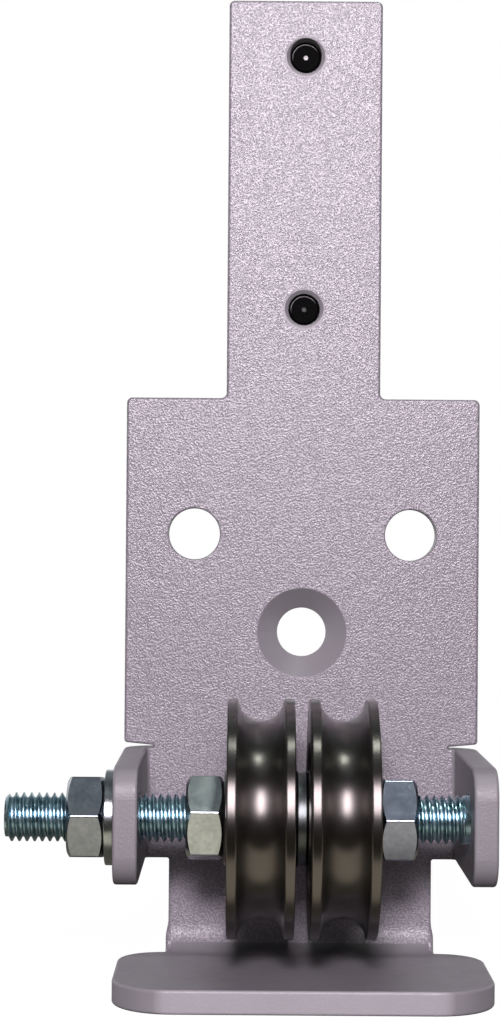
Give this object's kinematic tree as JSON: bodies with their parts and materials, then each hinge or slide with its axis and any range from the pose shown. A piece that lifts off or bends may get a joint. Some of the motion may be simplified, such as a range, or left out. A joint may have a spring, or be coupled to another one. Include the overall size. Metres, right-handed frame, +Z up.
{
  "type": "diverter pulley",
  "caption": "Diverter pulley: a folded sheet-steel bracket with a tongue, mounting plate, ears and foot carries grooved ball-bearing rollers on a screw axle.",
  "frame": {"origin": "on the plate's rear face, midway between the two fixing holes", "axes": "+X along the axle towards the screw's head, +Y through the plate into the wall, +Z up along the tongue"},
  "size_m": [0.0804, 0.0486, 0.1707],
  "materials": {
    "coated_steel": "fine textured powder coat",
    "zinc": "bright zinc plate",
    "roller_steel": "dark polished steel",
    "bearing_steel": "ground steel",
    "shield_steel": "pressed steel",
    "cage_polymer": "matte",
    "black_steel": "black oxide"
  },
  "bodies": {
    "bracket": {"bracket": "coated_steel", "axle_screw": "zinc", "end_nut": "zinc", "end_washer": "zinc", "left_clamp_nut": "zinc", "right_clamp_nut": "zinc", "spacer_washer": "zinc", "left_inner_ring": "bearing_steel", "right_inner_ring": "bearing_steel", "upper_set_screw": "black_steel", "lower_set_screw": "black_steel"},
    "left_roller": {"left_grooved_ring": "roller_steel", "left_nut_side_shield": "shield_steel", "left_spacer_side_shield": "shield_steel"},
    "left_ball_set": {"left_balls": "bearing_steel", "left_ball_cage": "cage_polymer"},
    "right_roller": {"right_grooved_ring": "roller_steel", "right_nut_side_shield": "shield_steel", "right_spacer_side_shield": "shield_steel"},
    "right_ball_set": {"right_balls": "bearing_steel", "right_ball_cage": "cage_polymer"}
  },
  "joints": [
    {"name": "left_roller_spin", "type": "hinge", "parent": "bracket", "child": "left_roller", "pos_m": [-0.00722, -0.029, -0.0466], "axis": [1, 0, 0], "continuous": true},
    {"name": "left_ball_set_spin", "type": "hinge", "parent": "bracket", "child": "left_ball_set", "pos_m": [-0.00722, -0.029, -0.0466], "axis": [1, 0, 0], "continuous": true},
    {"name": "right_roller_spin", "type": "hinge", "parent": "bracket", "child": "right_roller", "pos_m": [0.00628, -0.029, -0.0466], "axis": [1, 0, 0], "continuous": true},
    {"name": "right_ball_set_spin", "type": "hinge", "parent": "bracket", "child": "right_ball_set", "pos_m": [0.00628, -0.029, -0.0466], "axis": [1, 0, 0], "continuous": true}
  ],
  "couplings": [
    {"joint": "left_ball_set_spin", "follows": "left_roller_spin", "ratio": 0.64104},
    {"joint": "right_ball_set_spin", "follows": "right_roller_spin", "ratio": 0.64104}
  ]
}
